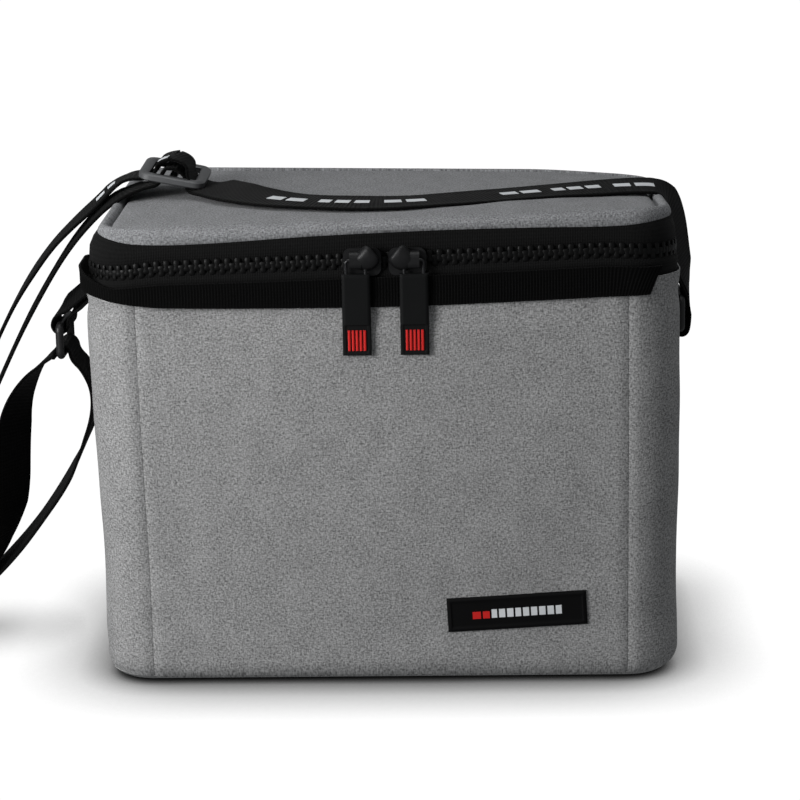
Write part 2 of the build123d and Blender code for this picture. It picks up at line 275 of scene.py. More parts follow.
# ---- Materials -------------------------------------------------------------
class Shader:
    """A material built node by node."""

    def __init__(self, name):
        self.material = bpy.data.materials.new(name)
        self.material.use_nodes = True
        self.tree = self.material.node_tree
        self.bsdf = self.tree.nodes["Principled BSDF"]

    def node(self, kind, inputs=None, **settings):
        node = self.tree.nodes.new(kind)
        for key, value in settings.items():
            setattr(node, key, value)
        for key, value in (inputs or {}).items():
            self.put(node.inputs[key], value)
        return node

    def put(self, socket, value):
        if isinstance(value, bpy.types.NodeSocket):
            self.tree.links.new(value, socket)
        else:
            socket.default_value = value

    def set(self, **values):
        for key, value in values.items():
            self.put(self.bsdf.inputs[key.replace("_", " ")], value)

    def math(self, operation, a, b=0.0, c=None, clamp=False):
        node = self.node("ShaderNodeMath", operation=operation, use_clamp=clamp)
        for k, value in enumerate((a, b, c)):
            if value is not None:
                self.put(node.inputs[k], value)
        return node.outputs[0]

    def mix(self, share, a, b):
        node = self.node("ShaderNodeMix", data_type="RGBA")
        self.put(node.inputs["Factor"], share)
        self.put(node.inputs[6], a)
        self.put(node.inputs[7], b)
        return node.outputs[2]

    def ramp(self, value, low, high, to_low=0.0, to_high=1.0):
        node = self.node("ShaderNodeMapRange", {"Value": value, "From Min": low, "From Max": high,
                                                "To Min": to_low, "To Max": to_high})
        return node.outputs[0]

    def stretched(self, source, x, y, z=1.0):
        return self.node("ShaderNodeMapping", {"Vector": source, "Scale": (x, y, z)}).outputs[0]

    def noise(self, vector, scale, detail=2.0, roughness=0.5):
        node = self.node("ShaderNodeTexNoise", {"Vector": vector, "Scale": scale, "Detail": detail,
                                                "Roughness": roughness})
        return node.outputs[0]

    def bump(self, height, strength, distance):
        node = self.node("ShaderNodeBump", {"Height": height, "Strength": strength, "Distance": distance})
        self.set(Normal=node.outputs[0])

    def coordinate(self, kind):
        return self.node("ShaderNodeTexCoord").outputs[kind]


def grey(value, tint=(1, 1, 1)):
    return (value * tint[0], value * tint[1], value * tint[2], 1)


def make_melange(name, dark, light, tint):
    """Woven grey melange: two-tone threads both ways, with slubs and soft clouds."""
    m = Shader(name)
    uv = m.coordinate("UV")
    across = m.noise(m.stretched(uv, 700, 1750), 1.0, 1.5)
    along = m.noise(m.stretched(uv, 1750, 640), 1.0, 1.5)
    speckle = m.noise(m.stretched(uv, 1280, 1280), 1.0, 1.0)
    clouds = m.noise(m.stretched(uv, 110, 80), 1.0, 3.0)
    thread = m.math("ADD", m.math("MULTIPLY", across, 0.40), m.math("MULTIPLY", along, 0.40))
    thread = m.math("ADD", thread, m.math("MULTIPLY", speckle, 0.42))
    thread = m.math("ADD", thread, m.math("MULTIPLY", clouds, 0.12))
    share = m.ramp(thread, 0.52, 0.82)
    m.set(Base_Color=m.mix(share, grey(dark, tint), grey(light, tint)), Roughness=0.9)
    m.set(Specular_IOR_Level=0.12, Sheen_Weight=0.05, Sheen_Roughness=0.5)
    weave = m.math("ADD", m.math("MULTIPLY", across, 0.6), m.math("MULTIPLY", along, 0.6))
    m.bump(weave, 0.55, 0.25 * MM)
    return m.material


def make_webbing(name, value, rib_scale, rough=0.62, sheen=0.25):
    """Black woven webbing with fine crossways ribs; u runs along it."""
    m = Shader(name)
    uv = m.coordinate("UV")
    separate = m.node("ShaderNodeSeparateXYZ", {"Vector": uv})
    rib = m.math("SINE", m.math("MULTIPLY", separate.outputs[0], 2 * math.pi * rib_scale))
    warp = m.math("SINE", m.math("MULTIPLY", separate.outputs[1], 2 * math.pi * 900))
    weave = m.math("ADD", m.math("MULTIPLY", rib, 0.7), m.math("MULTIPLY", warp, 0.3))
    fuzz = m.noise(m.stretched(uv, 900, 900), 1.0, 3.0)
    shade = m.ramp(m.math("ADD", weave, m.math("MULTIPLY", fuzz, 1.2)), -0.6, 1.6)
    m.set(Base_Color=m.mix(shade, grey(value * 0.55), grey(value * 1.5)), Roughness=rough)
    m.set(Specular_IOR_Level=0.06, Sheen_Weight=sheen, Sheen_Roughness=0.4)
    m.bump(weave, 0.6, 0.18 * MM)
    return m.material


def make_plain(name, colour, rough, spread=0.25, grain=900, bump_size=0.05, metallic=0.0, **extra):
    """Moulded or painted surface with fine grain, slight colour variation and uneven gloss."""
    m = Shader(name)
    place = m.coordinate("Object")
    fine = m.noise(place, grain, 3.0)
    broad = m.noise(place, 60, 3.0)
    dark = tuple(c * (1 - spread) for c in colour[:3]) + (1,)
    light = tuple(min(c * (1 + spread), 1) for c in colour[:3]) + (1,)
    m.set(Base_Color=m.mix(broad, dark, light), Metallic=metallic)
    m.set(Roughness=m.ramp(m.math("ADD", m.math("MULTIPLY", fine, 0.5), m.math("MULTIPLY", broad, 0.5)),
                           0.3, 0.7, rough * 0.85, min(rough * 1.15, 1)))
    for key, value in extra.items():
        m.put(m.bsdf.inputs[key.replace("_", " ")], value)
    m.bump(fine, 0.4, bump_size * MM)
    return m.material


def make_film(name):
    """Crinkled silver liner film."""
    m = Shader(name)
    place = m.coordinate("Object")
    crinkle = m.node("ShaderNodeTexVoronoi", {"Vector": place, "Scale": 70.0}, feature="SMOOTH_F1").outputs[0]
    fine = m.noise(place, 300, 4.0)
    m.set(Base_Color=m.mix(fine, grey(0.42), grey(0.62)), Metallic=0.85)
    m.set(Roughness=m.ramp(fine, 0.3, 0.7, 0.28, 0.45))
    m.bump(m.math("ADD", crinkle, m.math("MULTIPLY", fine, 0.3)), 0.7, 1.2 * MM)
    return m.material


COOL = (0.985, 1.0, 1.03)
body_fabric = make_melange("grey_melange", 0.115, 0.385, (1, 1, 1))
# The lid's copy is darker than the walls': painted shade on the lid's top. Its cool tint is the fabric's own.
lid_fabric_shaded = make_melange("grey_melange_lid_shaded", 0.10, 0.305, COOL)
band_webbing = make_webbing("ribbed_webbing", 0.0016, 833, 0.85, 0.02)
strap_webbing = make_webbing("strap_webbing", 0.0018, 620, 0.8, 0.03)
zip_tape = make_webbing("zip_tape", 0.0055, 1500, 0.8, 0.03)
teeth_plastic = make_plain("teeth_plastic", (0.003, 0.003, 0.003), 0.45, Specular_IOR_Level=0.12)
enamel = make_plain("black_enamel", (0.0045, 0.0045, 0.005), 0.48, bump_size=0.02, Specular_IOR_Level=0.3)
wire_metal = make_plain("black_wire", (0.006, 0.006, 0.007), 0.35, bump_size=0.02, Specular_IOR_Level=0.45)
ring_plastic = make_plain("ring_black", (0.010, 0.010, 0.0105), 0.42, bump_size=0.03, Specular_IOR_Level=0.35)
rubber = make_plain("pull_rubber", (0.005, 0.0053, 0.0055), 0.65, grain=1800, Specular_IOR_Level=0.1)
red_rubber = make_plain("red_rubber", (0.55, 0.012, 0.01), 0.5, grain=1800, Specular_IOR_Level=0.3)
label_rubber = make_plain("label_rubber", (0.0018, 0.0018, 0.002), 0.65, grain=1500, Specular_IOR_Level=0.1)
pale_print = make_plain("pale_print", (0.62, 0.64, 0.66), 0.6, grain=1500)
# The adjuster is black plastic: its grey base colour is a painted sheen for the light its frame reflects.
adjuster_metal = make_plain("adjuster_metal", (0.085, 0.087, 0.09), 0.4, metallic=0.3, bump_size=0.02)
film = make_film("silver_film")
foam = make_plain("white_foam", (0.5, 0.5, 0.49), 0.95, grain=2500, bump_size=0.2)
board_card = make_plain("board", (0.2, 0.17, 0.13), 0.9)


# ---- Body: walls, base and liner --------------------------------------------
def wall_profile():
    """Heights and insets from the base seam, up round the lower edge, to the top."""
    start = math.acos(1 - BASE_SEAM / EDGE_R)
    turn = np.linspace(start, math.pi / 2, 8)
    z = list(EDGE_R * (1 - np.cos(turn)))
    inset = list(EDGE_R * (1 - np.sin(turn)))
    rise = np.arange(EDGE_R + 2.2 * MM, PANEL_TOP, 2.2 * MM)
    return np.array(z + list(rise) + [PANEL_TOP]), np.array(inset + [0.0] * (len(rise) + 1))


def wall_puff(s, z):
    """How far the wall stands out from the plain outline: padding, seam grooves and slack."""
    a = np.abs((s + HALF_LOOP) % (2 * HALF_LOOP) - HALF_LOOP)
    tall = np.sin(np.clip(z / PANEL_TOP, 0, 1) * math.pi) ** 0.6
    front_across = np.clip(a / FRONT_HALF, 0, 1)
    back_across = np.clip((HALF_LOOP - a) / FRONT_HALF, 0, 1)
    puff = 1.9 * MM * (1 - front_across ** 2) * tall + 1.6 * MM * (1 - back_across ** 2) * tall
    side_middle = CORNER_START + SIDE_RUN / 2
    puff -= 1.4 * MM * bump(side_middle, 0.055, a) * tall
    for seam in (FRONT_HALF, HALF_LOOP - FRONT_HALF):
        puff -= 0.9 * MM * bump(seam, 1.3 * MM, a) - 0.35 * MM * bump(seam, 7 * MM, a)
    slack = 0.55 * MM * waves(s, z, 3, 0.085) + 0.22 * MM * waves(s, z * 0.8, 4, 0.034)
    puff += slack * smooth(0.004, 0.03, z)
    puff -= 0.8 * MM * bump(0.158, 0.004, z)
    puff += 0.5 * MM * bump(0.012, 0.006, z) * waves(s, z * 0, 8, 0.05)
    held = smooth(0.149, 0.156, z)
    return puff * (1 - held) + np.minimum(puff, 0.05 * MM) * held


def wall(name, s0, s1, stands_for):
    z, inset = wall_profile()
    count = max(int(round((s1 - s0) / (2.4 * MM))), 8)
    s = np.linspace(s0, s1, count + 1)
    grid_s, grid_z = np.meshgrid(s, z, indexing="ij")
    x, y, nx, ny = around(grid_s, inset[None, :])
    out = wall_puff(grid_s, grid_z)
    p = settle(np.stack([x + nx * out, y + ny * out, grid_z], 2))
    uv = np.stack([grid_s, grid_z + inset[None, :]], 2)
    piece = thick_grid(name, p, uv, 5.2 * MM)
    finish_piece(piece, "root", stands_for, body_fabric)
    return piece


SEAM_GAP = 0.06 * MM
wall("bag_front", -FRONT_HALF + SEAM_GAP, FRONT_HALF - SEAM_GAP, ("front_panel", "front_foam"))
wall("bag_back", HALF_LOOP - FRONT_HALF + SEAM_GAP, HALF_LOOP + FRONT_HALF - SEAM_GAP,
     ("back_panel", "back_foam"))
wall("bag_right", FRONT_HALF + SEAM_GAP, HALF_LOOP - FRONT_HALF - SEAM_GAP,
     ("right_side_panel", "right_foam"))
wall("bag_left", -HALF_LOOP + FRONT_HALF + SEAM_GAP, -FRONT_HALF - SEAM_GAP,
     ("left_side_panel", "left_foam"))

edge_turns = np.linspace(math.acos(1 - BASE_SEAM / EDGE_R), 0, 5)
base_rings = [(5.5 * MM, 0.0, 5.5 * MM)]
base_rings += [(EDGE_R * (1 - math.sin(t)) + 0.15 * MM, 0.0, EDGE_R * (1 - math.cos(t))) for t in edge_turns]
base_rings += [(EDGE_R, share, 0.0) for share in (0.1, 0.3, 0.5, 0.7, 0.9, 1.0)]
base_rings += [(EDGE_R, share, 5.5 * MM) for share in (1.0, 0.7, 0.3)]
base_rings.append(base_rings[0])
bag_base = loop_piece("bag_base", base_rings, settled=False)
finish_piece(bag_base, "root", ("base_panel", "base_foam"), body_fabric)


LINER_IN = 6.05 * MM
LINER_T = 0.6 * MM


def liner_wall(z, extra):
    """Inset of the film at one height, crinkled a little inwards."""
    amount = 0.45 * MM * float(smooth(0.160, 0.140, z))
    return lambda s: LINER_IN + extra + amount * (1.2 + waves(s, z + s * 0, 21, 0.035))


def liner_floor(z):
    return lambda x, y, s: z + 0.35 * MM * (1.2 + waves(x, y, 22, 0.04))


inner_rings, outer_rings = [], []
for z in np.linspace(0.1645, 0.020, 38):
    inner_rings.append((liner_wall(z, LINER_T), 0.0, z))
    outer_rings.append((liner_wall(z, 0.0), 0.0, z))
for turn in np.linspace(0.4, math.pi / 2, 5):
    inset, z = 7 * MM * (1 - math.cos(turn)), 0.020 - 10.5 * MM * math.sin(turn)
    inner_rings.append((LINER_IN + LINER_T + inset, 0.0, z + LINER_T))
    outer_rings.append((LINER_IN + inset, 0.0, z))
for share in (0.12, 0.3, 0.5, 0.7, 0.85, 1.0):
    inner_rings.append((LINER_IN + LINER_T + 7 * MM, share, liner_floor(0.0101)))
    outer_rings.append((LINER_IN + 7 * MM, share, liner_floor(0.0095)))
liner = loop_piece("liner", inner_rings + outer_rings[::-1] + [inner_rings[0]])
finish_piece(liner, "root", ("inner_liner",), film)


def strip(name, s0, s1, step, profile, thickness, offset=None, rise=None, slant=None):
    """A band round the bag: profile gives (inset, height) pairs from its lower edge to its upper one."""
    s = np.linspace(s0, s1, int(round((s1 - s0) / step)) + 1)
    inset = np.array([row[0] for row in profile])
    z = np.array([row[1] for row in profile])
    grid_s, grid_z = np.meshgrid(s, z, indexing="ij")
    x, y, nx, ny = around(grid_s + (slant(grid_s, grid_z) if slant else 0.0), inset[None, :])
    out = offset(grid_s, grid_z) if offset else 0.0
    height = grid_z + (rise(grid_s, grid_z) if rise else 0.0)
    p = settle(np.stack([x + nx * out, y + ny * out, height], 2))
    length = np.concatenate([[0], np.cumsum(np.hypot(np.diff(inset), np.diff(z)))])
    uv = np.stack([grid_s, np.broadcast_to(length, grid_s.shape)], 2)
    return thick_grid(name, p, uv, thickness)


# ---- Mouth: binding, ribbed band, tapes and teeth ----------------------------
binding_rings = [(0.7 * MM, 0, 0.1632), (0.5 * MM, 0, 0.1664), (2.4 * MM, 0, 0.1676), (5.6 * MM, 0, 0.1672),
                 (7.3 * MM, 0, 0.1660), (7.7 * MM, 0, 0.1580), (7.2 * MM, 0, 0.1572), (6.8 * MM, 0, 0.1580),
                 (6.3 * MM, 0, 0.1650), (4.5 * MM, 0, 0.1666), (2.0 * MM, 0, 0.1660), (1.6 * MM, 0, 0.1632)]
binding = loop_piece("mouth_binding", binding_rings + [binding_rings[0]])
finish_piece(binding, "root", ("rim_binding",), band_webbing)

BAND_END = FRONT_HALF + CORNER_R * math.asin(8 / 22)
RIB = 1.2 * MM


def band_out(s, z):
    rib = 0.22 * MM * (np.abs(np.sin(math.pi * s / RIB)) - 0.5)
    ends = smooth(BAND_BOTTOM, BAND_BOTTOM + 1.5 * MM, z) * smooth(BAND_TOP, BAND_TOP - 1.5 * MM, z)
    lip = 0.5 * MM * waves(s, z * 0, 31, 0.09) * smooth(BAND_BOTTOM + 5 * MM, BAND_BOTTOM, z)
    corner = 1.0 * MM * smooth(0.110, 0.128, -s) * smooth(0.175, 0.145, -s)
    return rib * ends + lip + 0.35 * MM * bump(BAND_TOP, 1.2 * MM, z) + corner


band_profile = [(-1.05 * MM, z) for z in np.linspace(BAND_BOTTOM, BAND_TOP, 9)]


def band_rise(s, z):
    """The band climbs over the zip's tape where it turns the left corner, then drops again."""
    lower = 6.0 * MM * smooth(0.086, 0.124, -s) * smooth(0.21, 0.15, -s)
    upper = 6.5 * MM * smooth(0.104, 0.130, -s) * smooth(0.175, 0.145, -s)
    share = np.clip((z - BAND_BOTTOM) / (BAND_TOP - BAND_BOTTOM), 0, 1)
    return lower * (1 - share) + upper * share


def band_slant(s, z):
    return 0.5 * (z - BAND_BOTTOM) * smooth(BAND_END - 0.02, BAND_END, s)


band = strip("ribbed_band", -HALF_LOOP - BAND_END, BAND_END, RIB / 4, band_profile, 0.8 * MM, band_out,
             band_rise, band_slant)
finish_piece(band, "root", ("rim_band",), band_webbing)

ZIP_END = CORNER_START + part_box("left_zip_stop")[0].y + HALF_D - CORNER_R
TEETH_IN = HALF_D - TEETH_Y if TEETH_Y > 0 else 1.7 * MM
TEETH_IN = 1.7 * MM
lower_tape = strip("zip_tape_lower", -ZIP_END, ZIP_END, 2 * MM,
                   [(1.4 * MM, 0.1664), (1.3 * MM, 0.1700), (1.0 * MM, 0.1712), (1.2 * MM, 0.1724), (2.0 * MM, 0.1735),
                    (2.9 * MM, 0.1750), (3.0 * MM, 0.1762)], 0.6 * MM)
finish_piece(lower_tape, "root", ("lower_zip_tape",), zip_tape)


def lid_inset(s):
    """How much further in the lid lies at its sides and corners, where the tape stands out past it."""
    left = smooth(0.078, 0.112, -s) * smooth(HALF_LOOP - 0.09, HALF_LOOP - 0.13, -s)
    right = smooth(0.078, 0.112, s) * smooth(HALF_LOOP - 0.09, HALF_LOOP - 0.13, s)
    return 3.0 * MM * left + 1.2 * MM * right


def lid_raise(s):
    """The lid's lower edge bows up over the sliders, and lifts to the piping at its corners."""
    left = smooth(0.092, 0.130, -s) * smooth(HALF_LOOP - 0.09, HALF_LOOP - 0.13, -s)
    right = smooth(0.092, 0.130, s) * smooth(HALF_LOOP - 0.09, HALF_LOOP - 0.13, s)
    return (2.2 * bump(0.012, 0.075, s) + 3.0 * left + 2.0 * right) * MM


def upper_out(s, z):
    return 0.35 * MM * waves(s, z * 0, 33, 0.07) * bump(0.183, 3 * MM, z) - lid_inset(s) * smooth(0.1836, 0.1868, z)


def upper_rise(s, z):
    return lid_raise(s) * smooth(0.1805, 0.1860, z)


upper_tape = strip("zip_tape_upper", -ZIP_END, ZIP_END, 2 * MM,
                   [(3.1 * MM, 0.1768), (3.0 * MM, 0.1782), (2.5 * MM, 0.1796), (2.2 * MM, 0.1812),
                    (2.6 * MM, 0.1830), (3.2 * MM, 0.1848), (4.0 * MM, 0.1868)], 0.6 * MM, upper_out, upper_rise)
finish_piece(upper_tape, "lid", ("upper_zip_tape",), zip_tape)

TOOTH_PITCH = 4 * MM
# A tooth in section along the tape: half width and depth at each height from its root.
TOOTH_SHAPE = [(0.0, 0.85, 1.0), (0.6, 1.05, 1.5), (1.6, 1.05, 1.6), (2.4, 0.75, 1.55), (3.3, 1.35, 1.55),
               (4.1, 1.45, 1.5), (4.5, 1.0, 1.2)]


def tooth_row(name, side, z_root, phase):
    """Moulded teeth, each a waisted stud with a wide head that locks between two of the other row."""
    verts, faces = [], []
    count = int(2 * ZIP_END / TOOTH_PITCH) - 1
    for k in range(count):
        s = -ZIP_END + (k + 0.75 + phase) * TOOTH_PITCH
        base = len(verts)
        for rise, half, depth in TOOTH_SHAPE:
            for ds, inset in ((-half, 0.25), (-half * 0.55, 0.0), (half * 0.55, 0.0), (half, 0.25),
                              (half, depth * 1.9), (-half, depth * 1.9)):
                x, y, _, _ = around(s + ds * MM, TEETH_IN + (inset + 0.5 * (1.6 - depth)) * MM)
                verts.append((float(x), float(y), z_root + side * rise * MM))
        rows = len(TOOTH_SHAPE)
        for i in range(rows - 1):
            for j in range(6):
                n = (j + 1) % 6
                f = (base + i * 6 + j, base + i * 6 + n, base + (i + 1) * 6 + n, base + (i + 1) * 6 + j)
                faces.append(f if side > 0 else f[::-1])
        bottom = tuple(base + j for j in range(5, -1, -1))
        top = tuple(base + (rows - 1) * 6 + j for j in range(6))
        faces += [bottom, top] if side > 0 else [bottom[::-1], top[::-1]]
    verts = settle(np.array(verts)[None])[0]
    return mesh_object(name, verts, faces, verts[:, :2])


lower_teeth = tooth_row("zip_teeth_lower", 1, 0.1733, 0.0)
finish_piece(lower_teeth, "root", ("lower_zip_teeth",), teeth_plastic)
upper_teeth = tooth_row("zip_teeth_upper", -1, 0.1797, 0.5)
finish_piece(upper_teeth, "lid", ("upper_zip_teeth",), teeth_plastic)

for side, sign in (("left", -1), ("right", 1)):
    s = np.linspace(ZIP_END + 0.2 * MM, ZIP_END + 3.6 * MM, 9)
    bulge = 0.6 * MM * np.sin(np.linspace(0.15, math.pi - 0.15, 9))
    rings = []
    for place, round_out in zip(s, bulge):
        corners = [(0.9, 173.6), (0.6, 174.4), (0.6, 178.6), (0.9, 179.4), (4.0, 179.4), (4.0, 173.6)]
        ring = []
        for inset, z in corners:
            x, y, _, _ = around(sign * place, (inset + 0.8) * MM - round_out)
            ring.append((float(x), float(y), z * MM))
        rings.append(ring if sign > 0 else ring[::-1])
    rings = settle(np.array(rings))
    stop = tube_grid(side + "_stop", rings, rings[..., :2])
    finish_piece(stop, "root", (side + "_zip_stop",), teeth_plastic)

gusset_profile = [(1.4 * MM, 0.1664), (1.3 * MM, 0.1690), (1.4 * MM, 0.1712), (2.2 * MM, 0.1735), (3.0 * MM, 0.1762), (2.6 * MM, 0.1796),
                  (2.4 * MM, 0.1812), (2.8 * MM, 0.1830), (3.3 * MM, 0.1848), (4.0 * MM, 0.1868)]
gusset = strip("hinge_gusset", ZIP_END + 3.7 * MM, 2 * HALF_LOOP - ZIP_END - 3.7 * MM, 2 * MM, gusset_profile,
               0.8 * MM)
gusset.data.materials.append(zip_tape)
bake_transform(gusset)
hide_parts("back_hinge_strip", "lid_hinge_strip")


# ---- Lid ------------------------------------------------------------------
def lid_crown(x, y, s):
    """Height of the padded panel over its edge: nearly flat, with a low crown and soft waves."""
    across = np.clip(1 - (x / 0.116) ** 2, 0, 1) * np.clip(1 - (y / 0.072) ** 2, 0, 1)
    return (0.9 * across ** 0.5 + 0.28 * waves(x, y, 41, 0.07) + 0.12 * waves(x, y, 42, 0.03)) * MM


def groove_height(x, y, s):
    """The piping's groove shows at the sides and corners and closes along the front's middle."""
    return 0.1893 + 2.5 * MM * smooth(0.099, 0.062, np.abs(s))


def rim_height(x, y, s):
    return 0.1923 - 0.7 * MM * smooth(0.099, 0.062, np.abs(s))


def panel_height(lift):
    return lambda x, y, s: 0.1912 + lift * MM + lid_crown(x, y, s)


def edge_height(z):
    """Height of a ring of the lid's side, which bows up along the front."""
    return lambda x, y, s: z + lid_raise(s) * np.clip((0.1908 - z) / 0.005, 0, 1)


def rim_share(drop):
    return lambda x, y, s: rim_height(x, y, s) - drop * MM


def lid_ring(inset, share, z, seed=None):
    wavy = (lambda s: 0.3 * MM * waves(s, s * 0, seed, 0.1)) if seed else (lambda s: 0.0)
    return (lambda s: inset * MM + lid_inset(s) + wavy(s), share, z)


lid_rings = [lid_ring(9, 1.0, 0.1880), lid_ring(9, 0.5, 0.1880), lid_ring(9, 0, 0.1876),
             lid_ring(5.2, 0, edge_height(0.1856)), lid_ring(3.7, 0, edge_height(0.1848)),
             lid_ring(3.1, 0, edge_height(0.1855), 43), lid_ring(2.8, 0, edge_height(0.1866), 43),
             lid_ring(2.75, 0, edge_height(0.1879), 43), lid_ring(2.9, 0, edge_height(0.1892), 43),
             lid_ring(3.2, 0, rim_share(1.6)), lid_ring(3.7, 0, rim_share(0.8)), lid_ring(4.3, 0, rim_share(0.25)),
             lid_ring(5.2, 0, rim_height), lid_ring(6.3, 0, rim_share(0.15)), lid_ring(7.0, 0, rim_share(0.6)),
             lid_ring(7.4, 0, lambda x, y, s: 0.5 * (rim_height(x, y, s) + groove_height(x, y, s))),
             lid_ring(7.8, 0, groove_height), lid_ring(8.2, 0, groove_height),
             lid_ring(8.6, 0, lambda x, y, s: 0.5 * groove_height(x, y, s) + 0.5 * panel_height(0)(x, y, s)),
             lid_ring(9.2, 0, panel_height(-0.1)), lid_ring(10.5, 0, panel_height(0.2)),
             lid_ring(13.5, 0, panel_height(0.3))]
lid_rings += [lid_ring(13.5, share, panel_height(0.3)) for share in np.linspace(0.05, 1.0, 22)]
lid = loop_piece("lid_cover", lid_rings)
finish_piece(lid, "lid", ("lid_side_band", "lid_top_panel", "lid_rim_piping", "lid_foam"), lid_fabric_shaded)


def lining_height(z):
    return lambda x, y, s: z + 0.3 * MM * waves(x, y, 44, 0.04)


lining_rings = [(5.2 * MM, 0, 0.1862), (6.5 * MM, 0, 0.1850), (9 * MM, 0, lining_height(0.1853))]
lining_rings += [(9 * MM, share, lining_height(0.1856)) for share in (0.15, 0.4, 0.65, 0.85, 1.0)]
lining_rings += [(9 * MM, share, lining_height(0.1872)) for share in (1.0, 0.65, 0.15)]
lining_rings.append(lining_rings[0])
lining = loop_piece("lid_lining_film", lining_rings)
finish_piece(lining, "lid", ("lid_lining",), film)


# ---- Strap ------------------------------------------------------------------
def spline_points(name, route):
    """Points read from the smooth curve that a route's points control."""
    data = bpy.data.curves.new(name + "_line", "CURVE")
    data.dimensions = "3D"
    data.resolution_u = 12
    spline = data.splines.new("NURBS")
    spline.points.add(len(route) - 1)
    for point, place in zip(spline.points, route):
        point.co = (place[0] * MM, place[1] * MM, place[2] * MM, 1)
    spline.order_u = 3
    spline.use_endpoint_u = True
    holder = bpy.data.objects.new(name + "_line", data)
    bpy.context.scene.collection.objects.link(holder)
    mesh = bpy.data.meshes.new_from_object(holder.evaluated_get(bpy.context.evaluated_depsgraph_get()))
    points = np.array([v.co for v in mesh.vertices])
    bpy.data.objects.remove(holder)
    bpy.data.meshes.remove(mesh)
    return points


# Half of the webbing's section, from edge to edge across its upper face: (across, up).
SECTION = [(-1.0, 0.0), (-0.985, 0.62), (-0.93, 0.95), (-0.86, 0.85), (-0.5, 1.0), (0.0, 1.05), (0.5, 1.0),
           (0.86, 0.85), (0.93, 0.95), (0.985, 0.62), (1.0, 0.0)]


def web_frame(line, route):
    """Tangent, width direction and upper normal at each point of a strap's line."""
    wide = np.array([[row[3], row[4], row[5]] for row in route], float)
    place = np.linspace(0, len(route) - 1, len(line))
    w = np.stack([np.interp(place, np.arange(len(route)), wide[:, k]) for k in range(3)], 1)
    tangent = np.gradient(line, axis=0)
    tangent /= np.linalg.norm(tangent, axis=1, keepdims=True)
    w -= tangent * np.sum(w * tangent, axis=1, keepdims=True)
    w /= np.linalg.norm(w, axis=1, keepdims=True)
    return tangent, w, np.cross(tangent, w)


def webbing(name, route, seed, thickness=STRAP_T, width=STRAP_W, ripple=0.22):
    """Flat webbing along a route of rows (x, y, z, and its width's direction)."""
    line = spline_points(name, route)
    step = np.linalg.norm(np.diff(line, axis=0), axis=1)
    keep = np.concatenate([[True], step > 1e-7])
    line = line[keep]
    run = np.concatenate([[0], np.cumsum(np.linalg.norm(np.diff(line, axis=0), axis=1))])
    _, w, up = web_frame(line, route)
    section = SECTION + [(a, -b) for a, b in SECTION[-2:0:-1]]
    rings, uvs = [], []
    for point, wide, normal, length in zip(line, w, up, run):
        ring, uv = [], []
        for across, rise in section:
            wave = ripple * MM * float(waves(np.array(length), np.array(across * 0.02), seed, 0.045)) * across ** 2
            ring.append(point + wide * across * width / 2 + normal * (rise * thickness / 2 + wave))
            uv.append((length, across * width / 2 + (0.5 if rise < 0 else 0.0)))
        rings.append(ring)
        uvs.append(uv)
    piece = tube_grid(name, np.array(rings), np.array(uvs))
    piece.data.materials.append(strap_webbing)
    return piece, line, run


Y = (0, 1, 0)
UP_LEFT = (-0.07, 1, 0.07)
MAIN_ROUTE = [
    (125.4, 0, 148.0, *Y), (121.9, 0, 141.5, *Y), (120.9, 0, 134.6, *Y), (123.0, 0, 131.0, *Y),
    (126.6, 0, 131.8, *Y), (127.6, 0, 138.0, *Y), (127.6, -1, 149.0, 0.15, 1, 0), (125.7, -2, 157.0, 0.34, 1, 0),
    (124.0, -3, 167.0, 0.36, 1, 0), (122.6, -4, 179.0, 0.36, 1, 0), (119.9, -5, 188.3, 0.34, 1, 0.1),
    (114.7, -6, 194.0, 0.08, 1, 0.1),
    (107, -6.5, 194.6, 0.02, 1, 0.1), (88, -8.5, 194.2, -0.12, 1, 0.07), (48, -24, 194.0, -0.3, 1, 0.03),
    (6, -40, 193.8, 0.02, 1, 0.03), (-33, -33, 193.8, 0.25, 1, 0.04), (-55, -20.5, 194.4, 0.33, 1, 0.08),
    (-69, -4, 195.4, 0.25, 1, 0.12), (-78.2, 5.5, 195.5, 0.05, 1, 0.08), (-83.2, 6.5, 199.0, *Y),
    (-83.6, 7.5, 206.4, *Y), (-90.0, 8.5, 208.0, *Y),
]
OUTER_ROUTE = [
    (-90.0, 8.5, 208.0, *Y), (-96.4, 9, 207.2, *Y), (-97.6, 9, 201.8, *Y), (-102, 9, 199.6, *Y),
    (-109, 9, 200.0, *Y), (-117, 8.5, 196.0, *UP_LEFT), (-124, 7, 188.8, *UP_LEFT), (-134, 5, 180.2, *UP_LEFT),
    (-145, 4, 169.6, *UP_LEFT), (-157, 3, 153, *UP_LEFT), (-170, 2, 129, *UP_LEFT), (-182, 1, 101, *Y),
    (-195, 0, 68, *Y), (-206, 0, 40, *Y), (-210.5, 0, 20, *Y), (-205, 0, 9, *Y), (-191, 1, 13, *Y),
    (-176, 2, 25, *UP_LEFT), (-162, 3, 40, *UP_LEFT), (-148, 3, 58, *UP_LEFT), (-137, 2, 76, *UP_LEFT),
    (-129, 1, 94, *Y), (-127, 0, 109, *Y), (-131, 0, 119, *Y), (-135.6, 0, 123.6, *Y), (-136.2, 0, 128.0, *Y),
    (-139.6, 0, 130.3, *Y), (-142.9, 0, 128.0, *Y), (-143.2, 0, 124.2, *Y),
]
TWIST = (0.44, 0.9, 0)
